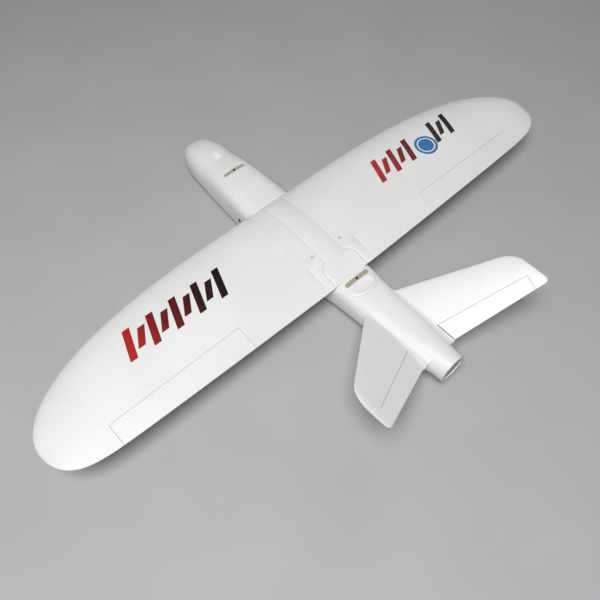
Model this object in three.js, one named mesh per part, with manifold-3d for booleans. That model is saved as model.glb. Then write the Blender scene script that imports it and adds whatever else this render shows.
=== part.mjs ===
// Foam V-tail fixed wing drone: airframe with removable wings, lift-off hatches and control linkages.
// Frame: millimetres, nose towards -Y, port wing towards +X, +Z up, belly on Z = 0.
import * as THREE from 'three';
import { mergeVertices } from 'three/addons/utils/BufferGeometryUtils.js';
import Module from 'manifold-3d';

const wasm = await Module();
wasm.setup();

// ---------------------------------------------------------------- driving dimensions
const HALF_SPAN = 859;
const LENGTH = 1100;
const GAP = 0.3;                    // clearance kept between touching pieces
const REACH = 400;                  // long enough for a cutter to pass right through

const wing = {
  rootLead: -160, rootTrail: 173, tipY: 60,      // Y of the edges at the root and of the tip
  leadPower: 3.1, trailPower: 20, trailSweep: 8,
  z: 110, dihedral: THREE.MathUtils.degToRad(1.2),
  thickness: 0.12, camber: 0.025, camberAt: 0.4, edge: 2,
  joint: 85,                        // half-width of the stub that the panels butt against
};

const body = {
  nose: -LENGTH / 2, noseEnd: -400, noseZ: 40, nosePower: 2.6, noseTaper: 0.045,
  tail: 524, wall: 8, roof: 13, hollowNose: -522, splitZ: 72,
};

// Fuselage stations: Y, half-width, top, bottom, upper and lower corner exponents
const STATIONS = [
  [-400, 66.0, 120.5, 3.0, 2.6, 2.8],
  [-325, 71.0, 125.0, -1.2, 3.2, 3.4],
  [-160, 78.0, 115.5, -1.2, 4.0, 4.0],
  [60, 74.0, 113.0, -1.2, 4.0, 4.0],
  [171, 66.0, 112.0, 12.0, 3.8, 3.0],
  [278, 62.0, 113.0, 21.0, 2.8, 2.8],
  [408, 52.0, 117.0, 31.0, 2.3, 2.4],
  [478, 44.5, 119.3, 37.5, 2.05, 2.1],
  [530, 40.0, 119.7, 39.7, 2.0, 2.0],
];

const frontHatch = { front: -329, frontSide: -321, frontHalf: 46, rear: -160.5, rearHalf: 66 };
const rearHatch = { front: -146, half: 35, shoulder: 112, deckHalf: 58, deckY: 158, deckLength: 80 };
const hatch = { thick: 8, ledge: 7, arcPower: 2.5 };
const latch = { frontY: -319, frontLength: 73, frontWidth: 10, rearY: 187, rearLength: 81, rearWidth: 12.5 };
const latchHoles = { front: [0, 22], rear: [0, 11] };   // X of the screw hole and of a spare one
const latchScrew = { shank: 2, head: 3.4, height: 2.2, reach: 17 };
const fingerDish = { y: 213, half: 36, length: 18, depth: 4.5 };
const plate = { ply: 3, bar: 10, latchDepth: 2, hole: 2.5 };

const spar = { mainY: -67, mainR: 7, mainZ: 119, mainHalf: 375, rearY: 46, rearR: 4, rearZ: 117, rearHalf: 240 };
const tongue = { y: 70, width: 26, from: 38, to: 130, z: 116, screwX: 50.5, screwR: 2, headR: 4.5 };

const aileron = { inner: [333, 106], outer: [708.7, 110.5], bevel: 32, slot: 0.4, endGap: 0.8 };
const aileronLink = { along: 77, ahead: 80, down: 15.4, arm: 26 };

const fin = {
  rootX: 57, rootZ: 96, angle: THREE.MathUtils.degToRad(28.6), span: 261,
  rootLead: 275, rootTrail: 477, tipLead: 442, tipTrail: 553.6, thickness: 0.09, edge: 2,
  leadRound: 30, trailRound: 14,
};
const ruddervator = { inner: [1, 421], outer: [235, 504.5], bevel: 32, slot: 0.4, endGap: 0.8, root: 2.5 };
const ruddervatorLink = { along: 40, ahead: 70, down: 6.7, arm: 18 };

const saddle = { front: 276, rear: 480, half: 9, from: THREE.MathUtils.degToRad(35) };
const finRod = { y: 397, radius: 2, from: -28, to: 110 };
const mount = { y: 517, thick: 4, z: 79.7, seatR: 33, shaftR: 7, screwR: 2, screwCircle: 19 };
const formers = [{ y: -338, half: 40, low: 30, high: 94 }, { y: -150, half: 42, low: 34, high: 92 },
  { y: 252, half: 26, low: 48, high: 84 }];
const tray = { from: -334.5, to: -150.5, z: 26, slots: [-290, -200] };
const vent = { tip: -422, ridge: -414, base: -388, half: 9.5, lowTop: 121.6, highTop: 129 };
const cableHole = { y: -207, z: 57, radius: 4 };
const grommet = { bore: 1.8, inside: 12, flange: 5.6, stand: 1.2 };
const servo = { length: 23, width: 12.2, depth: 22.5, shaftInset: 6, earReach: 4.7, earFrom: 6.5 };
const rod = { wire: 0.75, hole: 1.2, offset: 3, tail: 1.8 };

// ---------------------------------------------------------------- materials
const material = (color, roughness, metalness = 0) => new THREE.MeshStandardMaterial({ color, roughness, metalness });
const foam = material(0xf1f1ef, 0.55);
const plywood = material(0xc3ab84, 0.75);
const carbon = material(0x1d1e20, 0.35);
const nylon = material(0xe9e8e2, 0.5);
const servoCase = material(0x23262b, 0.45);
const steel = material(0x9a9da0, 0.3, 0.9);
const blackSteel = material(0x1b1a19, 0.4, 0.6);
const rubber = material(0x151515, 0.7);
const whitePlastic = material(0xf6f6f5, 0.35);

// ---------------------------------------------------------------- solids
/** Closed solid from a geometry, with its shared vertices merged. */
function solid(geometry) {
  const bare = geometry.clone();
  bare.deleteAttribute('normal');
  bare.deleteAttribute('uv');
  const merged = mergeVertices(bare, 1e-4);
  const vertProperties = new Float32Array(merged.attributes.position.array);
  const triVerts = new Uint32Array(merged.index.array);
  return new wasm.Manifold(new wasm.Mesh({ numProp: 3, vertProperties, triVerts }));
}

/** Geometry of a finished solid. */
function geometryOf(shape) {
  const mesh = shape.getMesh();
  const geometry = new THREE.BufferGeometry();
  geometry.setAttribute('position', new THREE.BufferAttribute(mesh.vertProperties, 3));
  geometry.setIndex(new THREE.BufferAttribute(mesh.triVerts, 1));
  return geometry;
}

/** Closed geometry through rings of points that all have the same count. */
function loft(rings) {
  const count = rings[0].length;
  const positions = rings.flat(2);
  const index = [];
  for (let r = 0; r + 1 < rings.length; r++) {
    for (let i = 0; i < count; i++) {
      const a = r * count + i;
      const b = r * count + (i + 1) % count;
      index.push(a, b, a + count, b, b + count, a + count);
    }
  }
  const last = (rings.length - 1) * count;
  for (let i = 0, j = count - 1; i + 1 < j; i++, j--) {
    index.push(i, j, i + 1, last + i, last + i + 1, last + j);
    if (i + 2 < j) index.push(i + 1, j, j - 1, last + i + 1, last + j - 1, last + j);
  }
  const geometry = new THREE.BufferGeometry();
  geometry.setAttribute('position', new THREE.Float32BufferAttribute(positions, 3));
  geometry.setIndex(signedVolume(positions, index) < 0 ? index.reverse() : index);
  return geometry;
}

function signedVolume(positions, index) {
  const corner = (i) => new THREE.Vector3().fromArray(positions, index[i] * 3);
  let volume = 0;
  for (let i = 0; i < index.length; i += 3) {
    volume += corner(i).dot(corner(i + 1).cross(corner(i + 2))) / 6;
  }
  return volume;
}

/** Box between two opposite corners. */
function box(low, high) {
  const size = high.map((value, i) => value - low[i]);
  const middle = high.map((value, i) => (value + low[i]) / 2);
  return new THREE.BoxGeometry(...size).translate(...middle);
}

/** Cylinder along X, Y or Z between two places on that axis. */
function rodAlong(axis, radius, from, to, centre, sides = 16) {
  const geometry = new THREE.CylinderGeometry(radius, radius, to - from, sides);
  geometry.translate(0, (from + to) / 2, 0);
  if (axis === 'x') geometry.rotateZ(-Math.PI / 2);
  if (axis === 'z') geometry.rotateX(Math.PI / 2);
  return geometry.translate(...centre);
}

/** Outline in plan, raised from z = low to z = high. */
function column(points, low, high) {
  const shape = new THREE.Shape(points.map(([x, y]) => new THREE.Vector2(x, y)));
  const geometry = new THREE.ExtrudeGeometry(shape, { depth: high - low, bevelEnabled: false });
  return geometry.translate(0, 0, low);
}

/** Outline in the YZ plane, drawn out along X. */
function beam(points, from, to) {
  const shape = new THREE.Shape(points.map(([y, z]) => new THREE.Vector2(y, z)));
  const geometry = new THREE.ExtrudeGeometry(shape, { depth: to - from, bevelEnabled: false });
  const turn = new THREE.Matrix4().makeBasis(
    new THREE.Vector3(0, 1, 0), new THREE.Vector3(0, 0, 1), new THREE.Vector3(1, 0, 0));
  return geometry.applyMatrix4(turn).translate(from, 0, 0);
}

// ---------------------------------------------------------------- nodes
const drone = new THREE.Group();

function add(name, shape, look, frame = new THREE.Matrix4()) {
  const mesh = new THREE.Mesh(geometryOf(shape), look);
  mesh.name = name;
  mesh.applyMatrix4(frame);
  drone.add(mesh);
}

/** Port piece and its mirror image on the starboard side. */
function addPair(name, shape, look, frame = new THREE.Matrix4()) {
  add(`${name}_port`, shape, look, frame);
  const flip = new THREE.Matrix4().makeScale(-1, 1, 1);
  const mirrored = geometryOf(shape).applyMatrix4(flip);
  mirrored.index.array.reverse();
  const mesh = new THREE.Mesh(mirrored, look);
  mesh.name = `${name}_starboard`;
  mesh.applyMatrix4(flip.clone().multiply(frame).multiply(flip));
  drone.add(mesh);
}

// ---------------------------------------------------------------- section shapes
/** Smooth value of every column of a table of stations at y. */
function stationAt(y) {
  const last = STATIONS.length - 1;
  const at = Math.min(Math.max(STATIONS.findIndex((row) => row[0] > y), 1), last);
  const i = y >= STATIONS[last][0] ? last : at;
  const [a, b] = [STATIONS[i - 1], STATIONS[i]];
  const width = b[0] - a[0];
  const t = THREE.MathUtils.clamp((y - a[0]) / width, 0, 1);
  const slope = (k, c) => {
    const [p, q] = [STATIONS[Math.max(k - 1, 0)], STATIONS[Math.min(k + 1, last)]];
    return (q[c] - p[c]) / (q[0] - p[0]);
  };
  return a.slice(1).map((_, j) => {
    const c = j + 1;
    const rise = width * (t - 2 * t ** 2 + t ** 3) * slope(i - 1, c) + width * (t ** 3 - t ** 2) * slope(i, c);
    return a[c] + (b[c] - a[c]) * (3 * t ** 2 - 2 * t ** 3) + rise;
  });
}

/** Fuselage ring at y, moved out by grow, with the round nose starting at nose. */
function bodyRing(y, nose, grow) {
  const [halfWidth, top, bottom, upper, lower] = stationAt(Math.max(y, body.noseEnd));
  const run = (body.noseEnd - Math.min(y, body.noseEnd)) / (body.noseEnd - nose);
  const fullness = Math.sqrt(1 - Math.min(run, 0.9995) ** body.nosePower);
  const taper = body.noseTaper * (body.noseEnd - Math.min(y, body.noseEnd));
  const side = (halfWidth + grow.side - taper) * fullness;
  const roof = body.noseZ + (top + grow.top - body.noseZ) * fullness;
  const floor = body.noseZ + (bottom - grow.bottom - body.noseZ) * fullness;
  const points = 28;
  return Array.from({ length: points }, (_, i) => {
    const angle = (2 * Math.PI * (i + 0.5)) / points;
    const power = 2 / (Math.cos(angle) > 0 ? upper : lower);
    const across = Math.sign(Math.sin(angle)) * Math.abs(Math.sin(angle)) ** power;
    const up = Math.sign(Math.cos(angle)) * Math.abs(Math.cos(angle)) ** power;
    return [side * across, y, (roof + floor) / 2 + ((roof - floor) / 2) * up];
  });
}

function bodySolid(nose, tail, grow) {
  const noseSteps = 7;
  const ys = [];
  for (let i = 0; i < noseSteps; i++) {
    const angle = (Math.PI / 2) * (i / noseSteps);
    ys.push(body.noseEnd - (body.noseEnd - nose) * Math.cos(angle));
  }
  const stretches = 14;
  for (let i = 0; i <= stretches; i++) {
    ys.push(body.noseEnd + (tail - body.noseEnd) * (i / stretches));
  }
  return solid(loft(ys.map((y) => bodyRing(y, nose, grow))));
}

function leadingEdge(x) {
  const s = x / HALF_SPAN;
  return wing.tipY - (wing.tipY - wing.rootLead) * Math.sqrt(1 - s ** wing.leadPower);
}

function trailingEdge(x) {
  const s = x / HALF_SPAN;
  const straight = wing.rootTrail - wing.trailSweep * s ** 2;
  return wing.tipY + (straight - wing.tipY) * Math.sqrt(1 - s ** wing.trailPower);
}

const chordPlane = (x) => wing.z + x * Math.tan(wing.dihedral);

/** Half thickness and mean line of the wing section, as fractions of the chord. */
function halfThickness(f, thickness) {
  return 5 * thickness * (0.2969 * Math.sqrt(f) - 0.126 * f - 0.3516 * f ** 2 + 0.2843 * f ** 3 - 0.1036 * f ** 4);
}

function meanLine(f) {
  const p = wing.camberAt;
  const front = (2 * p * f - f ** 2) / p ** 2;
  const rear = (1 - 2 * p + 2 * p * f - f ** 2) / (1 - p) ** 2;
  return wing.camber * (f < p ? front : rear);
}

/** Closed section ring from the upper trailing edge round the leading edge. */
function sectionRing(steps, place) {
  const ring = [];
  for (let i = 0; i <= 2 * steps; i++) {
    const f = (1 + Math.cos((Math.PI * i) / steps)) / 2;
    ring.push(place(f, i < steps ? 1 : i > steps ? -1 : 0));
  }
  return ring;
}

function wingRing(x) {
  const lead = leadingEdge(x);
  const chord = trailingEdge(x) - lead;
  return sectionRing(9, (f, side) => {
    const half = chord * halfThickness(f, wing.thickness) + (wing.edge / 2) * f;
    return [x, lead + f * chord, chordPlane(x) + chord * meanLine(f) + side * half];
  });
}

/** Height of the wing's upper skin at a place in plan. */
function wingTop(x, y) {
  const lead = leadingEdge(x);
  const chord = trailingEdge(x) - lead;
  const f = (y - lead) / chord;
  return chordPlane(x) + chord * (meanLine(f) + halfThickness(f, wing.thickness)) + (wing.edge / 2) * f;
}

const stubSolid = () => {
  const end = wingRing(wing.joint - GAP / 2);
  return solid(loft([end.map(([x, y, z]) => [-x, y, z]), wingRing(0), end]));
};

// ---------------------------------------------------------------- fuselage
const NO_GROW = { side: 0, top: 0, bottom: 0 };
const SKIN_GAP = { side: GAP, top: GAP, bottom: GAP };
const HOLLOW = { side: -body.wall, top: -body.roof, bottom: -body.wall };
const HOLLOW_FIT = { side: -body.wall - GAP, top: -body.roof - GAP, bottom: -body.wall - GAP };

const hull = bodySolid(body.nose, body.tail, NO_GROW)
  .intersect(solid(box([-HALF_SPAN, -LENGTH, 0], [HALF_SPAN, LENGTH, REACH])));
const outside = hull.add(stubSolid());
const hollow = bodySolid(body.hollowNose, body.tail + 6, HOLLOW);
const hollowFit = bodySolid(body.hollowNose, body.tail + 6, HOLLOW_FIT);
const filled = outside.add(solid(box([-60, -140, 60], [60, wing.rootTrail, wing.z + 0.3])));

/** All the space that lies more than depth below the upper skin. */
const below = (depth) => filled.translate([0, 0, -depth]);

/** Plan of the front hatch: a bowed front edge and sides that widen to the wing. */
function frontHatchPlan(inset) {
  const h = frontHatch;
  const arc = [];
  const steps = 6;
  for (let i = 0; i <= steps; i++) {
    const across = 1 - (2 * i) / steps;
    const y = h.frontSide - (h.frontSide - h.front) * (1 - across ** 2);
    arc.push([across * (h.frontHalf - inset), y + inset]);
  }
  return [[-(h.rearHalf - inset), h.rear - inset], ...arc.reverse(), [h.rearHalf - inset, h.rear - inset]];
}

/** Plan of the rear hatch: a narrow strip over the wing that opens into a round-ended deck. */
function rearHatchPlan(inset) {
  const h = rearHatch;
  const side = [[h.half - inset, h.front + inset], [h.half - inset, h.shoulder - 12 + inset]];
  side.push([h.deckHalf - 8 - inset, h.shoulder + inset], [h.deckHalf - inset, h.shoulder + 12 + inset]);
  const steps = 9;
  for (let i = 0; i <= steps; i++) {
    const angle = (Math.PI / 2) * (i / steps);
    const x = (h.deckHalf - inset) * Math.cos(angle) ** (2 / hatch.arcPower);
    side.push([x, h.deckY + (h.deckLength - inset) * Math.sin(angle) ** (2 / hatch.arcPower)]);
  }
  const mirrored = side.slice(0, -1).map(([x, y]) => [-x, y]).reverse();
  side[side.length - 1][0] = 0;
  return [...side, ...mirrored];
}

const prism = (plan) => solid(column(plan, body.splitZ + 10, REACH));
const seat = (plan) => prism(plan).subtract(below(hatch.thick + GAP));

function buildFuselage() {
  const bore = solid(rodAlong('y', mount.seatR, mount.y - 2, body.tail + 6, [0, 0, mount.z], 32));
  const shell = outside.subtract(hollow).subtract(bore);
  const upper = solid(box([-HALF_SPAN, -LENGTH, body.splitZ + GAP / 2], [HALF_SPAN, LENGTH, REACH]));
  const lower = solid(box([-HALF_SPAN, -LENGTH, -REACH], [HALF_SPAN, LENGTH, body.splitZ - GAP / 2]));
  let top = shell.intersect(upper);
  top = top.subtract(seat(frontHatchPlan(-GAP))).subtract(prism(frontHatchPlan(hatch.ledge)));
  top = top.subtract(seat(rearHatchPlan(-GAP))).subtract(prism(rearHatchPlan(hatch.ledge)));
  top = top.subtract(sparBores(GAP)).subtract(tongueSlots()).subtract(screwWells()).subtract(finRodHoles());
  add('fuselage_upper_shell', top.subtract(seatPlateSlots()), foam);
  const { y, z, radius } = cableHole;
  const sideHole = solid(rodAlong('x', radius, -REACH, REACH, [0, y, z], 12));
  add('fuselage_lower_shell', shell.intersect(lower).subtract(sideHole), foam);
}

/** Rubber grommets in the cable holes, with a flange outside. */
function buildGrommets() {
  const { y, z, radius } = cableHole;
  const skin = stationAt(y)[0];
  const lathe = (r, from, to) => solid(rodAlong('x', r, from, to, [0, y, z], 16));
  const flange = lathe(grommet.flange, skin + GAP, skin + grommet.stand);
  const sleeve = lathe(radius - GAP, skin - grommet.inside, skin + 0.9);
  addPair('cable_grommet', flange.add(sleeve).subtract(lathe(grommet.bore, 0, REACH)), rubber);
}

function sparBores(clearance) {
  const main = rodAlong('x', spar.mainR + clearance, -REACH, REACH, [0, spar.mainY, spar.mainZ], 20);
  const rear = rodAlong('x', spar.rearR + clearance, -REACH, REACH, [0, spar.rearY, spar.rearZ], 16);
  return solid(main).add(solid(rear));
}

function tongueSlots() {
  const half = tongue.width / 2 + GAP;
  const top = tongue.z + plate.ply + GAP;
  return solid(box([-REACH, tongue.y - half, tongue.z - GAP], [REACH, tongue.y + half, top]));
}

function screwWells() {
  const well = (x) => {
    const head = rodAlong('z', tongue.headR + GAP, tongue.z + plate.ply + GAP, REACH, [x, tongue.y, 0], 16);
    const shank = rodAlong('z', tongue.screwR + GAP, 90, REACH, [x, tongue.y, 0], 12);
    return solid(head).add(solid(shank));
  };
  return well(tongue.screwX).add(well(-tongue.screwX));
}

function finRodHoles() {
  const hole = solid(rodAlong('x', finRod.radius + GAP, -32, 20, [0, finRod.y, 0], 10).applyMatrix4(finFrame));
  return hole.add(hole.mirror([1, 0, 0]));
}

// ---------------------------------------------------------------- hatches
function buildHatch(name, plan, latchY, length, width) {
  const skinZ = surfaceAt(latchY);
  const recess = plate.latchDepth + GAP;
  const cut = box(
    [-length / 2 - GAP, latchY - width / 2 - GAP, skinZ - recess],
    [length / 2 + GAP, latchY + width / 2 + GAP, REACH]);
  const drill = (x) => solid(rodAlong('z', plate.hole, 0, REACH, [x, latchY, 0], 12));
  const screwHole = latchHoles[name].map(drill).reduce((all, hole) => all.add(hole));
  let panel = outside.intersect(prism(plan)).subtract(below(hatch.thick));
  if (name === 'rear') panel = panel.subtract(dishSolid(skinZ));
  add(`${name}_hatch`, panel.subtract(solid(cut)).subtract(screwHole), foam);
  const strip = solid(box(
    [-length / 2, latchY - width / 2, skinZ - plate.latchDepth],
    [length / 2, latchY + width / 2, skinZ]));
  add(`${name}_hatch_latch_plate`, strip.subtract(screwHole), plywood);
  const bar = solid(box(...seatPlateBox(latchY, 0))).intersect(below(hatch.thick + 2 * GAP));
  add(`${name}_hatch_seat_plate`, bar.subtract(screwHole), plywood);
  const head = rodAlong('z', latchScrew.head, skinZ + GAP, skinZ + GAP + latchScrew.height, [0, latchY, 0], 20);
  const shank = rodAlong('z', latchScrew.shank, skinZ - latchScrew.reach, skinZ + 1, [0, latchY, 0], 12);
  add(`${name}_hatch_latch_screw`, solid(head).add(solid(shank)), blackSteel);
}

/** Shallow oval dish behind the rear latch plate, where a finger lifts the hatch. */
function dishSolid(skinZ) {
  const dish = new THREE.SphereGeometry(1, 24, 12).scale(fingerDish.half, fingerDish.length, fingerDish.depth);
  return solid(dish.translate(0, fingerDish.y, skinZ));
}

/** Height of the fuselage skin on the centre line. */
function surfaceAt(y) {
  return stationAt(y)[1];
}

function seatPlateBox(y, grow) {
  const top = surfaceAt(y) - hatch.thick - 2 * GAP;
  const half = y < 0 ? 44 : 53;
  return [[-half - grow, y - 8 - grow, top - plate.bar - grow], [half + grow, y + 8 + grow, top + grow]];
}

function seatPlateSlots() {
  return solid(box(...seatPlateBox(latch.frontY, GAP))).add(solid(box(...seatPlateBox(latch.rearY, GAP))));
}

// ---------------------------------------------------------------- inside the fuselage
function buildInside() {
  const names = ['front_former', 'wing_former', 'tail_former'];
  formers.forEach(({ y, half, low, high }, i) => {
    const slab = solid(box([-REACH, y, -REACH], [REACH, y + plate.ply, REACH]));
    const window = solid(box([-half, y - 1, low], [half, y + plate.ply + 1, high]));
    add(names[i], hollowFit.intersect(slab).subtract(window).subtract(seatPlateSlots()), plywood);
  });
  const deck = solid(box([-REACH, tray.from, tray.z], [REACH, tray.to, tray.z + plate.ply]));
  const slots = tray.slots.map((y) => solid(box([-22, y - 3, 0], [22, y + 3, 60])));
  add('equipment_tray', hollowFit.intersect(deck).subtract(slots[0]).subtract(slots[1]), plywood);
}

function buildSpars() {
  const tube = (radius, half, y, z, sides) => solid(rodAlong('x', radius, -half, half, [0, y, z], sides))
    .subtract(solid(rodAlong('x', radius - 1, -REACH, REACH, [0, y, z], sides)));
  add('main_spar_tube', tube(spar.mainR, spar.mainHalf, spar.mainY, spar.mainZ, 20), carbon);
  add('rear_spar_tube', tube(spar.rearR, spar.rearHalf, spar.rearY, spar.rearZ, 16), carbon);
  const inner = rearHatch.half - hatch.ledge - GAP;
  const rib = solid(box([inner - plate.ply, -95, 106], [inner, 62, 128]))
    .intersect(below(hatch.thick + 2 * GAP)).subtract(sparBores(GAP));
  addPair('spar_rib', rib, plywood);
}

function buildMotorMount() {
  const hole = (radius, x, z) => solid(rodAlong('y', radius, mount.y - 1, mount.y + mount.thick + 1, [x, 0, z], 20));
  const rim = rodAlong('y', mount.seatR - GAP, mount.y, mount.y + mount.thick, [0, 0, mount.z], 32);
  let disc = solid(rim).subtract(hole(mount.shaftR, 0, mount.z));
  for (let i = 0; i < 4; i++) {
    const angle = Math.PI / 4 + (i * Math.PI) / 2;
    const [x, z] = [mount.screwCircle * Math.cos(angle), mount.z + mount.screwCircle * Math.sin(angle)];
    disc = disc.subtract(hole(mount.screwR, x, z));
  }
  add('motor_mount_plate', disc, plywood);
}

function buildNoseVent() {
  const low = surfaceAt(body.noseEnd) - 6;
  const wedge = solid(column([[0, vent.tip], [vent.half, vent.base], [-vent.half, vent.base]], low, REACH));
  const front = [vent.tip - 4, low];
  const rear = [[vent.base + 2, vent.lowTop], [vent.base + 2, low]];
  const side = [front, [vent.tip - 4, vent.lowTop], [vent.ridge, vent.highTop], ...rear];
  const slope = solid(beam(side, -20, 20));
  add('nose_vent_fairing', wedge.intersect(slope).subtract(bodySolid(body.nose, 0, SKIN_GAP)), whitePlastic);
}

// ---------------------------------------------------------------- wings
/** Right-handed frame at a hinge line: X along the hinge, Y aft, Z up from the surface. */
function hingeFrame(from, to) {
  const x = to.clone().sub(from).normalize();
  const y = new THREE.Vector3(0, 0, 1).cross(x).normalize();
  const z = x.clone().cross(y);
  return new THREE.Matrix4().makeBasis(x, y, z).setPosition(from);
}

const onWing = ([x, y]) => new THREE.Vector3(x, y, wingTop(x, y) - 0.5);
const aileronFrame = hingeFrame(onWing(aileron.inner), onWing(aileron.outer));
const aileronLength = onWing(aileron.inner).distanceTo(onWing(aileron.outer));

/** Block that holds a control surface behind its hinge, with a bevelled front face. */
function surfaceBlock(control, length) {
  const slope = Math.tan(THREE.MathUtils.degToRad(control.bevel));
  const reach = 30;
  const face = [[control.slot, reach], [control.slot, 0], [control.slot + reach * slope, -reach]];
  return solid(beam([...face, [170, -reach], [170, reach]], 0, length));
}

function surfaceBay(control, length) {
  const front = [[-control.slot, 30], [-control.slot, -30]];
  return solid(beam([...front, [170, -30], [170, 30]], -control.endGap, length + control.endGap));
}

/** Pocket in the lower skin that holds a servo and lets its arm swing. */
function servoPocket(link, height) {
  const { along, ahead, down } = link;
  const ear = servo.earReach + 1;
  const from = [along - servo.depth - 4.2, -ahead - servo.length + servo.shaftInset - ear, -60];
  return solid(box(from, [along + 8, -ahead + servo.shaftInset + ear, -down + height]));
}

function buildWings() {
  const xs = [wing.joint + GAP / 2, 160, 240, 333, 420, 500, 575, 640, 700, 750, 790, 820, 840, 852, 857, 858.7];
  const whole = solid(loft(xs.map((x) => wingRing(x))));
  const toHinge = (shape) => shape.transform(inverse(aileronFrame));
  const fromHinge = (shape) => shape.transform(aileronFrame.elements);
  let panel = whole.subtract(fromHinge(surfaceBay(aileron, aileronLength)));
  panel = panel.subtract(fromHinge(servoPocket(aileronLink, 7)));
  panel = panel.subtract(endedBores()).subtract(tongueSeat());
  addPair('wing_panel', panel, foam);
  addPair('aileron', toHinge(whole).intersect(surfaceBlock(aileron, aileronLength)), foam, aileronFrame);
  buildTongues();
  buildLinkage('aileron', aileronLink, aileronFrame, toHinge(whole), 17.5);
}

const inverse = (frame) => frame.clone().invert().elements;

function endedBores() {
  const main = rodAlong('x', spar.mainR + GAP, 0, spar.mainHalf + 1, [0, spar.mainY, spar.mainZ], 20);
  const rear = rodAlong('x', spar.rearR + GAP, 0, spar.rearHalf + 1, [0, spar.rearY, spar.rearZ], 16);
  return solid(main).add(solid(rear));
}

function tongueSeat() {
  const half = tongue.width / 2 + GAP;
  const high = [tongue.to + GAP, tongue.y + half, tongue.z + plate.ply + GAP];
  return solid(box([0, tongue.y - half, tongue.z - GAP], high));
}

function buildTongues() {
  const half = tongue.width / 2;
  const strip = solid(box([tongue.from, tongue.y - half, tongue.z], [tongue.to, tongue.y + half, tongue.z + plate.ply]));
  const slotHalf = tongue.screwR + 0.6;
  const slot = solid(box([0, tongue.y - slotHalf, 100], [tongue.screwX + slotHalf, tongue.y + slotHalf, 130]));
  addPair('wing_joiner_tongue', strip.subtract(slot), plywood);
  const headZ = tongue.z + plate.ply + GAP;
  const shank = solid(rodAlong('z', tongue.screwR, 96, headZ + 2, [tongue.screwX, tongue.y, 0], 12));
  const head = solid(rodAlong('z', tongue.headR, headZ, headZ + 3, [tongue.screwX, tongue.y, 0], 16));
  const slotCut = box([tongue.screwX - 6, tongue.y - 0.5, headZ + 2], [tongue.screwX + 6, tongue.y + 0.5, headZ + 4]);
  addPair('wing_fixing_screw', shank.add(head).subtract(solid(slotCut)), nylon);
}

// ---------------------------------------------------------------- servo, arm, pushrod and horn
/** All four pieces of one control linkage, an exact parallelogram in the hinge frame. */
function buildLinkage(name, link, frame, skin, hornDepth) {
  const { along, ahead, down, arm } = link;
  const shift = new THREE.Matrix4().makeTranslation(along, -ahead, -down);
  const servoFrame = frame.clone().multiply(shift);
  addPair(`${name}_servo`, servoSolid(), servoCase, servoFrame);
  addPair(`${name}_servo_arm`, armSolid(arm), nylon, servoFrame);
  addPair(`${name}_pushrod`, pushrodSolid(ahead, down), steel,
    frame.clone().multiply(new THREE.Matrix4().makeTranslation(along, -ahead, -down - arm)));
  addPair(`${name}_horn`, hornSolid(arm, along, skin, hornDepth), nylon, frame);
}

function servoSolid() {
  const { length, width, depth, shaftInset, earReach, earFrom } = servo;
  const front = -3.4;
  const low = shaftInset - length;
  const half = width / 2;
  const main = solid(box([front - depth, low, -half], [front, shaftInset, half]));
  const ears = box([front - earFrom - 2, low - earReach, -half + 0.1], [front - earFrom, shaftInset + earReach, half - 0.1]);
  const boss = rodAlong('x', 5.4, front - 2, -2.4, [0, 0, 0], 18);
  const spline = rodAlong('x', 1.9, -5, -1.1, [0, 0, 0], 12);
  return main.add(solid(ears)).add(solid(boss)).add(solid(spline));
}

function armSolid(arm) {
  const hub = solid(rodAlong('x', 3.6, -0.8, 1.6, [0, 0, 0], 16));
  const blade = solid(beam([[-2.8, 0], [2.8, 0], [1.9, -arm], [0, -arm - 2.2], [-1.9, -arm]], -0.8, 0.8));
  const hole = solid(rodAlong('x', rod.hole, -3, 3, [0, 0, -arm], 12));
  return hub.add(blade).subtract(hole);
}

function pushrodSolid(ahead, down) {
  const run = Math.hypot(ahead, down);
  const tilt = Math.atan2(down, ahead);
  const bend = (y, z) => solid(rodAlong('x', rod.wire, -rod.tail, rod.offset, [0, y, z], 8));
  const wire = rodAlong('y', rod.wire, -rod.wire, run + rod.wire, [0, 0, 0], 8).rotateX(tilt);
  return solid(wire.translate(rod.offset, 0, 0)).add(bend(0, 0)).add(bend(ahead, down));
}

/** Horn plate below a control surface, with its foot against the lower skin. */
function hornSolid(arm, along, skin, depth) {
  const buried = -depth / 2;
  const outline = [[-2.6, -arm], [0, -arm - 2.6], [2.6, -arm - 0.8], [24, -depth], [24, buried], [11, buried]];
  const blade = beam([...outline, [11, -depth + 1]], along - 0.8, along + 0.8);
  const foot = box([along - 5, 11, -depth - 1.2], [along + 5, 26, buried]);
  const hole = solid(rodAlong('x', rod.hole, along - 3, along + 3, [0, 0, -arm], 12));
  return solid(blade).add(solid(foot)).subtract(skin.translate([0, 0, -GAP])).subtract(hole);
}

// ---------------------------------------------------------------- V-tail
const finFrame = new THREE.Matrix4().makeRotationY(-fin.angle)
  .setPosition(fin.rootX, 0, fin.rootZ);

/** Fin ring at span station s, rounded off at the tip corners. */
function finRing(s) {
  const t = s / fin.span;
  let lead = THREE.MathUtils.lerp(fin.rootLead, fin.tipLead, t);
  let trail = THREE.MathUtils.lerp(fin.rootTrail, fin.tipTrail, t);
  const round = (radius) => {
    const past = Math.max(0, s - (fin.span - radius)) / radius;
    return radius * (1 - Math.sqrt(Math.max(0, 1 - past ** 2)));
  };
  lead += round(fin.leadRound);
  trail -= round(fin.trailRound);
  const chord = trail - lead;
  return sectionRing(8, (f, side) => {
    const half = chord * halfThickness(f, fin.thickness) + (fin.edge / 2) * f;
    return [s, lead + f * chord, side * half];
  });
}

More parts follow.
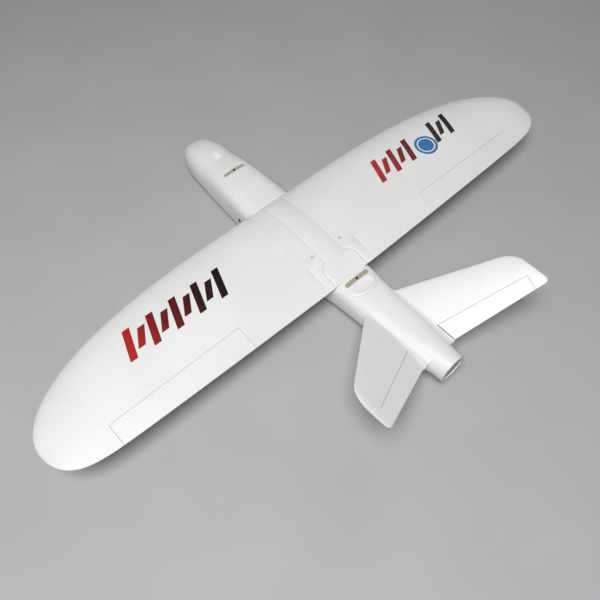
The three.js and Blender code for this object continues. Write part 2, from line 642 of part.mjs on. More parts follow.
/** Height of the fin's upper skin at a place in its own plan. */
function finTop(s, y) {
  const lead = THREE.MathUtils.lerp(fin.rootLead, fin.tipLead, s / fin.span);
  const chord = THREE.MathUtils.lerp(fin.rootTrail, fin.tipTrail, s / fin.span) - lead;
  const f = (y - lead) / chord;
  return chord * halfThickness(f, fin.thickness) + (fin.edge / 2) * f;
}

const onFin = ([s, y]) => new THREE.Vector3(s, y, finTop(s, y) - 0.4);
const hingeOnFin = hingeFrame(onFin(ruddervator.inner), onFin(ruddervator.outer));
const ruddervatorFrame = finFrame.clone().multiply(hingeOnFin);
const ruddervatorLength = onFin(ruddervator.inner).distanceTo(onFin(ruddervator.outer));

function buildTail() {
  const stations = [GAP, 40, 80, 120, 160, 200, 231, 241, 249, 255, 259, 260.6];
  const whole = solid(loft(stations.map(finRing)));
  const toHinge = (shape) => shape.transform(inverse(hingeOnFin));
  const fromHinge = (shape) => shape.transform(hingeOnFin.elements);
  const rodBore = solid(rodAlong('x', finRod.radius + GAP, -30, finRod.to + 1, [0, finRod.y, 0], 10));
  const blank = whole.subtract(fromHinge(surfaceBay(ruddervator, ruddervatorLength)));
  const panel = blank.subtract(fromHinge(servoPocket(ruddervatorLink, 6.8))).subtract(rodBore);
  addPair('tail_fin', panel, foam, finFrame);
  const clearOfRoot = whole.intersect(solid(box([ruddervator.root, 0, -REACH], [REACH, LENGTH, REACH])));
  const surface = toHinge(clearOfRoot).intersect(surfaceBlock(ruddervator, ruddervatorLength));
  addPair('ruddervator', surface, foam, ruddervatorFrame);
  const finSpar = solid(rodAlong('x', finRod.radius, finRod.from, finRod.to, [0, finRod.y, 0], 10));
  addPair('tail_fin_rod', finSpar, carbon, finFrame);
  addPair('tail_fin_mount', mountSolid(rodBore), foam, finFrame);
  buildLinkage('ruddervator', ruddervatorLink, ruddervatorFrame, toHinge(whole), 10.5);
}

/** Raised saddle that carries the fin root on the side of the boom. */
/** Saddle section at y in the fin's frame: its top runs in a smooth hollow from the boom's skin to the fin. */
function saddleRing(y) {
  const [halfWidth, top, bottom, upper] = stationAt(y);
  const [middle, height] = [(top + bottom) / 2, (top - bottom) / 2];
  const toFin = finFrame.clone().invert();
  const onBoom = (angle) => {
    const [x, z] = [Math.sin(angle), Math.cos(angle)].map((value) => value ** (2 / upper));
    return new THREE.Vector3(halfWidth * x, y, middle + height * z).applyMatrix4(toFin);
  };
  const skin = onBoom(saddle.from);
  const along = onBoom(saddle.from + 0.01).sub(skin);
  const rise = (saddle.half - skin.z) / along.z;
  const bend = Math.min(skin.x + rise * along.x, -2);
  const hollow = Array.from({ length: 7 }, (_, i) => {
    const t = i / 6;
    const s = (1 - t) ** 2 * skin.x + 2 * t * (1 - t) * bend;
    return [s, y, (1 - t) ** 2 * skin.z + (1 - (1 - t) ** 2) * saddle.half];
  });
  return [...hollow, [0, y, -saddle.half], [-24, y, -saddle.half - 2], [skin.x, y, skin.z - 12]];
}

function mountSolid(rodBore) {
  const step = (saddle.rear - saddle.front) / 6;
  const block = solid(loft([0, 1, 2, 3, 4, 5, 6].map((i) => saddleRing(saddle.front + i * step))));
  const boom = bodySolid(body.nose, body.tail, SKIN_GAP).transform(inverse(finFrame));
  return block.subtract(boom).subtract(rodBore);
}

// ---------------------------------------------------------------- assembly
buildFuselage();
buildHatch('front', frontHatchPlan(0), latch.frontY, latch.frontLength, latch.frontWidth);
buildHatch('rear', rearHatchPlan(0), latch.rearY, latch.rearLength, latch.rearWidth);
buildInside();
buildSpars();
buildMotorMount();
buildGrommets();
buildNoseVent();
buildWings();
buildTail();

export default drone;
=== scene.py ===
"""Looks of the foam V-tail drone: smooth foam skins, detailed linkages, printed bars and a soft studio."""

from math import atan2, copysign, cos, hypot, pi, radians, sin, sqrt, tan

import bpy
from mathutils import Matrix, Vector


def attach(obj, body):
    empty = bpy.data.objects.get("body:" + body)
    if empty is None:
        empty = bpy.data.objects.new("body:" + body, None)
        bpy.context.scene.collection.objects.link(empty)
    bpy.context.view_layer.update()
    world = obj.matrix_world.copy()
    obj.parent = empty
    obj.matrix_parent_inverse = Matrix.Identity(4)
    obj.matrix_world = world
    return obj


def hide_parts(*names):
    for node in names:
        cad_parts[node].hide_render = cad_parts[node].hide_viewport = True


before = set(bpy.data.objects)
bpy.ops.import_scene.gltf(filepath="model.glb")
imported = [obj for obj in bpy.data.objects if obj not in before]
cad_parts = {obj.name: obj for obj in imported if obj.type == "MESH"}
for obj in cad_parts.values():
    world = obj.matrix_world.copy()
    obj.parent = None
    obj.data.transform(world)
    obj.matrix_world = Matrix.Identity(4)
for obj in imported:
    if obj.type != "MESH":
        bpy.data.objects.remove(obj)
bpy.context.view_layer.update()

MM = 0.001                                  # shapes are worked out in millimetres
SHARP, BEVELLED = radians(32), radians(40)  # edges bent further stay sharp, or are bevelled on hard pieces
MIRROR = Matrix.Diagonal((-1, 1, 1, 1))     # to the other side of the centre plane

# ---------------------------------------------------------------- driving dimensions, as in the CAD
HALF_SPAN = 859
HALF_LENGTH = 700                           # reaches past both ends
GAP = 0.3
REACH = 400
WING = {"root_lead": -160, "root_trail": 173, "tip_y": 60, "lead_power": 3.1, "trail_power": 20,
        "sweep": 8, "z": 110, "dihedral": radians(1.2), "thickness": 0.12, "camber": 0.025,
        "camber_at": 0.4, "edge": 2, "joint": 85, "round_from": 640, "end": 858.7}
BODY = {"nose": -550, "nose_end": -400, "nose_z": 40, "nose_power": 2.6, "nose_taper": 0.045,
        "tail": 524, "wall": 8, "roof": 13, "hollow_nose": -522, "split": 72}
# Fuselage stations: Y, half-width, top, bottom, upper and lower corner exponents
STATIONS = [
    (-400, 66.0, 120.5, 3.0, 2.6, 2.8),
    (-325, 71.0, 125.0, -1.2, 3.2, 3.4),
    (-160, 78.0, 115.5, -1.2, 4.0, 4.0),
    (60, 74.0, 113.0, -1.2, 4.0, 4.0),
    (171, 66.0, 112.0, 12.0, 3.8, 3.0),
    (278, 62.0, 113.0, 21.0, 2.8, 2.8),
    (408, 52.0, 117.0, 31.0, 2.3, 2.4),
    (478, 44.5, 119.3, 37.5, 2.05, 2.1),
    (530, 40.0, 119.7, 39.7, 2.0, 2.0),
]
FRONT_HATCH = {"front": -329, "front_side": -321, "front_half": 46, "rear": -160.5, "rear_half": 66}
REAR_HATCH = {"front": -146, "half": 35, "shoulder": 112, "ramp": 12, "corner": 8,
              "deck_half": 58, "deck_y": 158, "deck_length": 80}
HATCH_THICK = 8
HATCH_LEDGE = 7
HATCH_ARC = 2.5
LATCHES = {"front": {"y": -319, "length": 73, "width": 10, "seat_half": 44, "holes": [0, 22]},
           "rear": {"y": 187, "length": 81, "width": 12.5, "seat_half": 53, "holes": [0, 11]}}
PLATE = {"ply": 3, "bar": 10, "seat_half": 8, "depth": 2, "hole": 2.5}
BLOCK = {"tall": 30, "aft": 170}            # room round a control surface, seen from its hinge
LATCH_SCREW = {"shank": 2, "head": 3.4, "height": 2.2, "reach": 17}
SPARS = [{"y": -67, "z": 119, "radius": 7, "half": 375}, {"y": 46, "z": 117, "radius": 4, "half": 240}]
TONGUE = {"y": 70, "width": 26, "from": 38, "to": 130, "z": 116, "screw_x": 50.5, "screw_r": 2, "head_r": 4.5}
AILERON = {"inner": (333, 106), "outer": (708.7, 110.5), "depth": 0.5, "bevel": 32, "slot": 0.4,
           "end_gap": 0.8}
AILERON_LINK = {"along": 77, "ahead": 80, "down": 15.4, "arm": 26, "pocket": 7, "horn": 17.5}
FIN = {"root_x": 57, "root_z": 96, "angle": radians(28.6), "span": 261, "root_lead": 275, "root_trail": 477,
       "tip_lead": 442, "tip_trail": 553.6, "thickness": 0.09, "edge": 2, "lead_round": 30, "trail_round": 14,
       "round_from": 225, "end": 260.6}
SADDLE = {"front": 276, "rear": 480, "half": 9, "from": radians(35)}
FIN_ROD = {"y": 397, "radius": 2, "from": -28, "to": 110}
RUDDERVATOR = {"inner": (1, 421), "outer": (235, 504.5), "depth": 0.4, "bevel": 32, "slot": 0.4,
               "end_gap": 0.8, "root": 2.5}
RUDDERVATOR_LINK = {"along": 40, "ahead": 70, "down": 6.7, "arm": 18, "pocket": 6.8, "horn": 10.5}
SERVO = {"front": -3.4, "length": 23, "width": 12.2, "depth": 22.5, "shaft_inset": 6, "ear_reach": 4.7,
         "ear_from": 6.5}
ROD = {"wire": 0.75, "hole": 1.2, "offset": 3, "tail": 1.8}
MOUNT = {"y": 517, "thick": 4, "z": 79.7, "seat_r": 33, "shaft_r": 7, "screw_r": 2, "circle": 19}
VENT = {"tip": -422, "ridge": -414, "base": -388, "half": 9.5, "foot": 110, "low_top": 121.6,
        "high_top": 129}
CABLE_HOLE = {"y": -207, "z": 57, "radius": 4}
GROMMET = {"bore": 1.8, "inside": 12, "flange": 5.6, "stand": 1.2}
# Softened joints in the foam: the wing root edge, then the round groove along a hatch
SEAM = {"half": 0.6, "depth": 0.5, "deck_depth": 1.3, "radius": 5, "step": 3}
DISH = {"y": 213, "half": 36, "length": 18, "depth": 4.5}
# Printed bars on the wings, each with the X of its middle, its width and its length along Y
MARKS = {"y": -24, "lean": 15, "lift": 0.2, "sink": 0.3, "low": 115, "high": 200,
         "port_fade": (572, 270), "starboard_fade": (-285, -610)}
PORT_BARS = [(560 - 34 * k, 21, 84 if k % 2 == 0 else 50) for k in range(9)]
STARBOARD_BARS = [(-300 - 32 * k, 19, 80 if k % 2 == 0 else 48) for k in range(5)]
STARBOARD_BARS += [(-540 - 30 * k, 18, 80 if k % 2 == 0 else 48) for k in range(3)]
ROUNDEL_AT = {"x": -482, "y": -2, "disc": 24, "ring_inner": 28, "ring_outer": 36}


# ---------------------------------------------------------------- meshes
def mesh_object(name, points, faces):
    """Object from points in millimetres."""
    mesh = bpy.data.meshes.new(name)
    mesh.from_pydata([[c * MM for c in p] for p in points], [], faces)
    mesh.update()
    made = bpy.data.objects.new(name, mesh)
    bpy.context.scene.collection.objects.link(made)
    return made


def loft(name, rings):
    """Closed skin through rings of equal count, with flat ends."""
    count = len(rings[0])
    points = [p for ring in rings for p in ring]
    faces = []
    for r in range(len(rings) - 1):
        for i in range(count):
            a, b = r * count + i, r * count + (i + 1) % count
            faces.append((a, b, b + count, a + count))
    last = (len(rings) - 1) * count
    faces += [tuple(range(count))[::-1], tuple(range(last, last + count))]
    return outward(mesh_object(name, points, faces))


def ring_of(name, rings):
    """Closed loop through rings of equal count, the last one joined to the first."""
    count = len(rings[0])
    points = [p for ring in rings for p in ring]
    total = len(points)
    faces = []
    for start in range(0, total, count):
        for i in range(count):
            a, b = start + i, start + (i + 1) % count
            faces.append((a, b, (b + count) % total, (a + count) % total))
    return outward(mesh_object(name, points, faces))


def outward(made):
    """Turns every face outwards if the closed mesh is inside out."""
    volume = 0
    mesh = made.data
    for face in mesh.polygons:
        corners = [mesh.vertices[i].co for i in face.vertices]
        for b, c in zip(corners[1:], corners[2:]):
            volume += corners[0].dot(b.cross(c))
    if volume < 0:
        mesh.flip_normals()
    return made


def box(low, high):
    (x0, y0, z0), (x1, y1, z1) = low, high
    return loft("box", [[(x0, y0, z), (x1, y0, z), (x1, y1, z), (x0, y1, z)] for z in (z0, z1)])


def slab(low, high):
    """All the space between two heights."""
    return box((-HALF_SPAN, -HALF_LENGTH, low), (HALF_SPAN, HALF_LENGTH, high))


AXES = {"x": lambda along, a, b: (along, a, b), "y": lambda along, a, b: (b, along, a),
        "z": lambda along, a, b: (a, b, along)}


def turned(axis, profile, centre=(0, 0, 0), sides=40, name="turned"):
    """Solid of revolution about X, Y or Z from (place on the axis, radius) pairs."""
    rings = []
    for along, radius in profile:
        ring = []
        for i in range(sides):
            angle = 2 * pi * i / sides
            point = AXES[axis](along, radius * cos(angle), radius * sin(angle))
            ring.append([p + c for p, c in zip(point, centre)])
        rings.append(ring)
    return loft(name, rings)


def rod(axis, radius, start, end, centre=(0, 0, 0), sides=40, name="rod"):
    return turned(axis, [(start, radius), (end, radius)], centre, sides, name)


def column(outline, low, high, name="column"):
    """Outline in plan, raised from low to high."""
    return loft(name, [[(x, y, z) for x, y in outline] for z in (low, high)])


def beam(outline, start, end, name="beam"):
    """Outline in the YZ plane, drawn out along X."""
    return loft(name, [[(x, y, z) for y, z in outline] for x in (start, end)])


def moved(made, matrix):
    """Moves the mesh itself; the object stays at the origin."""
    made.data.transform(matrix)
    return made


def placed(frame_mm):
    """A matrix with its place in millimetres, as one in metres."""
    matrix = frame_mm.copy()
    matrix.translation *= MM
    return matrix


def clone(made):
    copy = made.copy()
    copy.data = made.data.copy()
    bpy.context.scene.collection.objects.link(copy)
    return copy


def boolean(base, operation, tools):
    """Joins, cuts or intersects base with closed meshes, which are used up."""
    for tool in tools:
        modifier = base.modifiers.new("boolean", "BOOLEAN")
        modifier.operation, modifier.solver, modifier.object = operation, "MANIFOLD", tool
    bpy.context.view_layer.update()
    evaluated = base.evaluated_get(bpy.context.evaluated_depsgraph_get())
    result = bpy.data.meshes.new_from_object(evaluated)
    base.modifiers.clear()
    base.data = result
    for tool in tools:
        bpy.data.objects.remove(tool)
    return base


def union(base, *tools):
    return boolean(base, "UNION", tools)


def cut(base, *tools):
    return boolean(base, "DIFFERENCE", tools)


def common(base, *tools):
    return boolean(base, "INTERSECT", tools)


def mirrored(made):
    """Copy on the other side of the centre plane."""
    other = moved(clone(made), MIRROR)
    other.data.flip_normals()
    return other


def smooth(made):
    made.data.shade_smooth()
    made.data.set_sharp_from_angle(angle=SHARP)
    return made


# ---------------------------------------------------------------- section shapes
def station_at(y):
    """Smooth value of every column of the station table at y."""
    last = len(STATIONS) - 1
    i = next((k for k in range(1, last) if STATIONS[k][0] > y), last)
    a, b = STATIONS[i - 1], STATIONS[i]
    width = b[0] - a[0]
    t = min(max((y - a[0]) / width, 0), 1)

    def slope(k, c):
        p, q = STATIONS[max(k - 1, 0)], STATIONS[min(k + 1, last)]
        return (q[c] - p[c]) / (q[0] - p[0])

    values = []
    for c in range(1, 6):
        rise = (t - 2 * t ** 2 + t ** 3) * slope(i - 1, c) + (t ** 3 - t ** 2) * slope(i, c)
        values.append(a[c] + (b[c] - a[c]) * (3 * t ** 2 - 2 * t ** 3) + width * rise)
    return values


def signed_power(value, power):
    return copysign(abs(value) ** power, value)


def body_ring(y, nose, side_grow, top_grow, bottom_grow, points=120):
    half, top, bottom, upper, lower = station_at(max(y, BODY["nose_end"]))
    run = (BODY["nose_end"] - min(y, BODY["nose_end"])) / (BODY["nose_end"] - nose)
    fullness = sqrt(1 - min(run, 0.9995) ** BODY["nose_power"])
    taper = BODY["nose_taper"] * (BODY["nose_end"] - min(y, BODY["nose_end"]))
    side = (half + side_grow - taper) * fullness
    roof = BODY["nose_z"] + (top + top_grow - BODY["nose_z"]) * fullness
    floor = BODY["nose_z"] + (bottom - bottom_grow - BODY["nose_z"]) * fullness
    ring = []
    for i in range(points):
        angle = 2 * pi * (i + 0.5) / points
        power = 2 / (upper if cos(angle) > 0 else lower)
        up = signed_power(cos(angle), power)
        ring.append((side * signed_power(sin(angle), power), y, (roof + floor) / 2 + (roof - floor) / 2 * up))
    return ring


def body_solid(name, nose, tail, side_grow=0, top_grow=0, bottom_grow=0):
    start = BODY["nose_end"]
    ys = [start - (start - nose) * cos(pi / 2 * i / 26) for i in range(26)]
    ys += [start + (tail - start) * i / 110 for i in range(111)]
    return loft(name, [body_ring(y, nose, side_grow, top_grow, bottom_grow) for y in ys])


def leading_edge(x):
    s = x / HALF_SPAN
    return WING["tip_y"] - (WING["tip_y"] - WING["root_lead"]) * sqrt(1 - s ** WING["lead_power"])


def trailing_edge(x):
    s = x / HALF_SPAN
    straight = WING["root_trail"] - WING["sweep"] * s ** 2
    return WING["tip_y"] + (straight - WING["tip_y"]) * sqrt(1 - s ** WING["trail_power"])


def chord_plane(x):
    return WING["z"] + x * tan(WING["dihedral"])


def half_thickness(f, thickness):
    """Half thickness of the section as a share of the chord."""
    falling = 0.126 * f + 0.3516 * f ** 2 - 0.2843 * f ** 3 + 0.1036 * f ** 4
    return 5 * thickness * (0.2969 * sqrt(f) - falling)


def mean_line(f, camber):
    p = WING["camber_at"]
    if f < p:
        return camber * (2 * p * f - f ** 2) / p ** 2
    return camber * (1 - 2 * p + 2 * p * f - f ** 2) / (1 - p) ** 2


def section(lead, chord, thickness, edge, camber, steps=44):
    """Aerofoil outline as (y, z) from the upper trailing edge round the nose, its trailing edge rounded."""
    radius = edge / 2
    outline = []
    for i in range(2 * steps + 1):
        f = (1 + cos(pi * i / steps)) / 2
        side = (i < steps) - (i > steps)
        half = chord * half_thickness(f, thickness) + radius * f
        outline.append((lead + f * (chord - radius), chord * mean_line(f, camber) + side * half))
    for i in range(1, 6):
        angle = pi * (i / 6 - 0.5)
        outline.append((lead + chord - radius + radius * cos(angle), radius * sin(angle)))
    return outline


def wing_ring(x, inset=0):
    """Wing section at x, drawn in by inset all round for a softened panel end."""
    lead, chord = leading_edge(x), trailing_edge(x) - leading_edge(x)
    middle = chord_plane(x)
    outline = section(lead, chord, WING["thickness"], WING["edge"], WING["camber"])
    shrink = 1 - 2 * inset / (chord * WING["thickness"])
    return [(x, y, middle + z * shrink) for y, z in outline]


def wing_top(x, y):
    lead, chord = leading_edge(abs(x)), trailing_edge(abs(x)) - leading_edge(abs(x))
    f = (y - lead) / chord
    half = half_thickness(f, WING["thickness"])
    return chord_plane(abs(x)) + chord * (mean_line(f, WING["camber"]) + half) + WING["edge"] / 2 * f


def fin_edges(s):
    t = s / FIN["span"]
    lead = FIN["root_lead"] + (FIN["tip_lead"] - FIN["root_lead"]) * t
    trail = FIN["root_trail"] + (FIN["tip_trail"] - FIN["root_trail"]) * t
    return lead, trail


def corner_round(s, radius):
    past = max(0, s - (FIN["span"] - radius)) / radius
    return radius * (1 - sqrt(max(0, 1 - past ** 2)))


def fin_ring(s):
    """Fin section at s along the span, with the tip corners rounded off."""
    lead, trail = fin_edges(s)
    lead += corner_round(s, FIN["lead_round"])
    trail -= corner_round(s, FIN["trail_round"])
    return [(s, y, z) for y, z in section(lead, trail - lead, FIN["thickness"], FIN["edge"], 0)]


def fin_top(s, y):
    lead, trail = fin_edges(s)
    f = (y - lead) / (trail - lead)
    return (trail - lead) * half_thickness(f, FIN["thickness"]) + FIN["edge"] / 2 * f


# ---------------------------------------------------------------- hinge frames
def hinge_frame(start, end):
    """X along the hinge, Y aft, Z up from the surface, in millimetres."""
    x = (end - start).normalized()
    y = Vector((0, 0, 1)).cross(x).normalized()
    z = x.cross(y)
    matrix = Matrix((x, y, z)).transposed().to_4x4()
    matrix.translation = start
    return matrix


def on_wing(x, y):
    return Vector((x, y, wing_top(x, y) - AILERON["depth"]))


def on_fin(s, y):
    return Vector((s, y, fin_top(s, y) - RUDDERVATOR["depth"]))


AILERON_FRAME = hinge_frame(on_wing(*AILERON["inner"]), on_wing(*AILERON["outer"]))
AILERON_LENGTH = (on_wing(*AILERON["outer"]) - on_wing(*AILERON["inner"])).length
FIN_FRAME = Matrix.Translation((FIN["root_x"], 0, FIN["root_z"])) @ Matrix.Rotation(-FIN["angle"], 4, "Y")
HINGE_ON_FIN = hinge_frame(on_fin(*RUDDERVATOR["inner"]), on_fin(*RUDDERVATOR["outer"]))
RUDDERVATOR_FRAME = FIN_FRAME @ HINGE_ON_FIN
RUDDERVATOR_LENGTH = (on_fin(*RUDDERVATOR["outer"]) - on_fin(*RUDDERVATOR["inner"])).length


# ---------------------------------------------------------------- fuselage
def outside_solid(name):
    hull = body_solid(name, BODY["nose"], BODY["tail"])
    common(hull, slab(0, REACH))
    joint = WING["joint"] - GAP / 2
    xs = [joint, joint - SEAM["half"], 40, 0]
    port = [wing_ring(x, SEAM["depth"] if x == joint else 0) for x in xs]
    starboard = [[(-x, y, z) for x, y, z in ring] for ring in port[2::-1]]
    return union(hull, loft("stub", port + starboard))


OUTSIDE = outside_solid("outside")
FILLED = union(clone(OUTSIDE), box((-60, -140, 60), (60, WING["root_trail"], WING["z"] + 0.3)))


def below(depth):
    """All the space that lies more than depth below the upper skin."""
    return moved(clone(FILLED), Matrix.Translation((0, 0, -depth * MM)))


def front_hatch_plan(inset):
    h = FRONT_HATCH
    arc = []
    for i in range(25):
        across = 1 - i / 12
        y = h["front_side"] - (h["front_side"] - h["front"]) * (1 - across ** 2)
        arc.append((across * (h["front_half"] - inset), y + inset))
    rear = h["rear"] - inset
    return [(-(h["rear_half"] - inset), rear), *arc[::-1], (h["rear_half"] - inset, rear)]


def rear_hatch_plan(inset):
    h = REAR_HATCH
    side = [(h["half"] - inset, h["front"] + inset), (h["half"] - inset, h["shoulder"] - h["ramp"] + inset)]
    side += [(h["deck_half"] - h["corner"] - inset, h["shoulder"] + inset)]
    side += [(h["deck_half"] - inset, h["shoulder"] + h["ramp"] + inset)]
    for i in range(31):
        angle = pi / 2 * i / 30
        x = (h["deck_half"] - inset) * max(cos(angle), 0) ** (2 / HATCH_ARC)
        side.append((x, h["deck_y"] + (h["deck_length"] - inset) * sin(angle) ** (2 / HATCH_ARC)))
    side[-1] = (0, side[-1][1])
    return side + [(-x, y) for x, y in side[-2::-1]]


def prism(plan):
    return column(plan, BODY["split"] + 10, REACH, "prism")


def seat(plan):
    return cut(prism(plan), below(HATCH_THICK + GAP))


def seam(plan_of):
    """Shallow round groove that softens the edges on both sides of a hatch's gap."""
    corners = plan_of(0)
    path = []
    for (x0, y0), (x1, y1) in zip(corners, corners[1:] + corners[:1]):
        steps = max(1, round(hypot(x1 - x0, y1 - y0) / SEAM["step"]))
        path += [(x0 + (x1 - x0) * k / steps, y0 + (y1 - y0) * k / steps) for k in range(steps)]
    rings = []
    for i, (x, y) in enumerate(path):
        before, after = path[i - 1], path[(i + 1) % len(path)]
        across = Vector((after[1] - before[1], before[0] - after[0], 0)).normalized()
        deep = SEAM["deck_depth"] if y > REAR_HATCH["shoulder"] else SEAM["depth"]
        centre = Vector((x, y, skin_height(x, y) + SEAM["radius"] - deep))
        turns = [2 * pi * k / 24 for k in range(24)]
        rings.append([centre + SEAM["radius"] * (across * sin(a) + Vector((0, 0, cos(a)))) for a in turns])
    return ring_of("seam", rings)


def skin_height(x, y):
    """Height of the outer skin over a place in plan."""
    return OUTSIDE.ray_cast(Vector((x, y, REACH)) * MM, Vector((0, 0, -1)))[1].z / MM


def screw_wells():
    head_z = TONGUE["z"] + PLATE["ply"] + GAP
    wells = []
    for x in (TONGUE["screw_x"], -TONGUE["screw_x"]):
        centre = (x, TONGUE["y"], 0)
        wells.append(rod("z", TONGUE["head_r"] + GAP, head_z, REACH, centre))
        wells.append(rod("z", TONGUE["screw_r"] + GAP, 90, REACH, centre))
    return wells


def tongue_slot(reach):
    half, z = TONGUE["width"] / 2 + GAP, TONGUE["z"]
    return box((-reach, TONGUE["y"] - half, z - GAP), (reach, TONGUE["y"] + half, z + PLATE["ply"] + GAP))


def seat_plate_slot(latch):
    top = station_at(latch["y"])[1] - HATCH_THICK - GAP
    half = latch["seat_half"] + GAP
    low = (-half, latch["y"] - PLATE["seat_half"] - GAP, top - PLATE["bar"] - 2 * GAP)
    return box(low, (half, latch["y"] + PLATE["seat_half"] + GAP, top))


def fin_rod_hole():
    hole = rod("x", FIN_ROD["radius"] + GAP, FIN_ROD["from"] - 4, 20, (0, FIN_ROD["y"], 0), 24)
    return moved(hole, placed(FIN_FRAME))


def make_fuselage():
    shell = clone(OUTSIDE)
    wall, roof = BODY["wall"], BODY["roof"]
    cut(shell, body_solid("hollow", BODY["hollow_nose"], BODY["tail"] + 6, -wall, -roof, -wall))
    cut(shell, rod("y", MOUNT["seat_r"], MOUNT["y"] - 2, BODY["tail"] + 6, (0, 0, MOUNT["z"]), 96))
    lower = clone(shell)
    common(lower, slab(-REACH, BODY["split"] - GAP / 2))
    cut(lower, rod("x", CABLE_HOLE["radius"], -REACH, REACH, (0, CABLE_HOLE["y"], CABLE_HOLE["z"]), 32))
    common(shell, slab(BODY["split"] + GAP / 2, REACH))
    for plan_of in (front_hatch_plan, rear_hatch_plan):
        cut(shell, seat(plan_of(-GAP)), prism(plan_of(HATCH_LEDGE)), seam(plan_of))
    for spar in SPARS:
        cut(shell, rod("x", spar["radius"] + GAP, -REACH, REACH, (0, spar["y"], spar["z"])))
    cut(shell, tongue_slot(REACH), *screw_wells())
    hole = fin_rod_hole()
    cut(shell, mirrored(hole), hole)
    cut(shell, *[seat_plate_slot(latch) for latch in LATCHES.values()])
    dress(shell, "fuselage_upper_skin", "airframe", "fuselage_upper_shell", FOAM)
    dress(lower, "fuselage_lower_skin", "airframe", "fuselage_lower_shell", FOAM)


def make_hatch(name, plan_of, latch):
    skin_z = station_at(latch["y"])[1]
    length, width = latch["length"] / 2 + GAP, latch["width"] / 2 + GAP
    panel = common(clone(OUTSIDE), prism(plan_of(0)))
    cut(panel, below(HATCH_THICK), seam(plan_of))
    low = (-length, latch["y"] - width, skin_z - PLATE["depth"] - GAP)
    cut(panel, box(low, (length, latch["y"] + width, REACH)), *latch_holes(latch))
    if name == "rear":
        cut(panel, finger_dish(skin_z))
    dress(panel, f"{name}_hatch_skin", f"{name}_hatch", f"{name}_hatch", FOAM)


def latch_holes(latch):
    return [rod("z", PLATE["hole"], 0, REACH, (x, latch["y"], 0), 36) for x in latch["holes"]]


def finger_dish(skin_z):
    """Shallow oval dish behind the latch plate."""
    angles = [pi / 2 * (k / 16 - 0.999) for k in range(32)]
    dish = turned("z", [(sin(a), cos(a)) for a in angles], sides=96)
    size = Matrix.Diagonal((DISH["half"], DISH["length"], DISH["depth"], 1))
    return moved(dish, Matrix.Translation((0, DISH["y"] * MM, skin_z * MM)) @ size)


def make_vent():
    outline = [(0, VENT["tip"]), (VENT["half"], VENT["base"]), (-VENT["half"], VENT["base"])]
    wedge = column(outline, VENT["foot"] + 2, REACH, "nose_vent")
    front, rear = VENT["tip"] - 4, VENT["base"] + 2
    side = [(front, VENT["foot"]), (front, VENT["low_top"]), (VENT["ridge"], VENT["high_top"])]
    side += [(rear, VENT["low_top"]), (rear, VENT["foot"])]
    common(wedge, beam(side, -20, 20))
    cut(wedge, body_solid("skin", BODY["nose"], 0, GAP, GAP, GAP))
    dress(wedge, "nose_vent_skin", "airframe", "nose_vent_fairing", WHITE_PLASTIC)


# ---------------------------------------------------------------- wings
def surface_block(control, length):
    """Block that holds a control surface behind its hinge, with a bevelled front face."""
    slope = tan(radians(control["bevel"]))
    slot = control["slot"]
    tall, aft = BLOCK["tall"], BLOCK["aft"]
    outline = [(slot, tall), (slot, -0.4), (slot + tall * slope, -tall), (aft, -tall), (aft, tall)]
    return beam(outline, 0, length, "block")


def surface_bay(control, length):
    slot, end = control["slot"] + 0.05, control["end_gap"]
    tall, aft = BLOCK["tall"], BLOCK["aft"]
    return beam([(-slot, tall), (-slot, -tall), (aft, -tall), (aft, tall)], -end, length + end, "bay")


def servo_pocket(link):
    """Space for a servo with its ears and its arm, open through the lower skin."""
    ear = SERVO["ear_reach"] + 1
    rear = SERVO["shaft_inset"] - link["ahead"]
    low = (link["along"] + SERVO["front"] - 0.8 - SERVO["depth"], rear - SERVO["length"] - ear, -60)
    return box(low, (link["along"] + 8, rear + ear, link["pocket"] - link["down"]))


def make_wings():
    first = WING["joint"] + GAP / 2
    tip = WING["round_from"]
    xs = [first + SEAM["half"] + (tip - first) * i / 40 for i in range(41)]
    xs += [tip + (WING["end"] - tip) * sin(pi / 2 * i / 30) for i in range(1, 31)]
    whole = loft("wing", [wing_ring(first, SEAM["depth"])] + [wing_ring(x) for x in xs])
    skin = moved(clone(whole), placed(AILERON_FRAME).inverted())
    make_linkage("aileron", AILERON_LINK, AILERON_FRAME, skin, "wing")
    bpy.data.objects.remove(skin)
    bay = moved(surface_bay(AILERON, AILERON_LENGTH), placed(AILERON_FRAME))
    block = moved(surface_block(AILERON, AILERON_LENGTH), placed(AILERON_FRAME))
    surface = common(clone(whole), block)
    pocket = moved(servo_pocket(AILERON_LINK), placed(AILERON_FRAME))
    cut(whole, bay, pocket, tongue_slot(TONGUE["to"] + GAP))
    for spar in SPARS:
        cut(whole, rod("x", spar["radius"] + GAP, 0, spar["half"] + 1, (0, spar["y"], spar["z"])))
    lifted = moved(clone(whole), Matrix.Translation((0, 0, MARKS["lift"] * MM)))
    sunk = moved(clone(whole), Matrix.Translation((0, 0, -MARKS["sink"] * MM)))
    make_marks(lifted, sunk)
    dress_pair(whole, "wing_skin", "wing", "wing_panel", FOAM)
    dress_pair(surface, "aileron_skin", "aileron", "aileron", FOAM)


def bar_outline(x, width, length):
    half, reach, lean = width / 2, length / 2, MARKS["lean"]
    corners = [(-half - lean, -reach), (half - lean, -reach), (half + lean, reach), (lean - half, reach)]
    return [(x + across, MARKS["y"] + along) for across, along in corners]


def circle_outline(x, y, radius, sides=72):
    turns = [2 * pi * i / sides for i in range(sides)]
    return [(x + radius * cos(a), y + radius * sin(a)) for a in turns]


def print_column(outline, spare=0):
    """Upright column through the wing over a printed outline."""
    return column(outline, MARKS["low"] - spare, MARKS["high"] + spare)


def film(columns, lifted, sunk):
    """Thin film over the wing's upper skin, cut to the given columns."""
    return cut(common(union(*columns), clone(lifted)), clone(sunk))


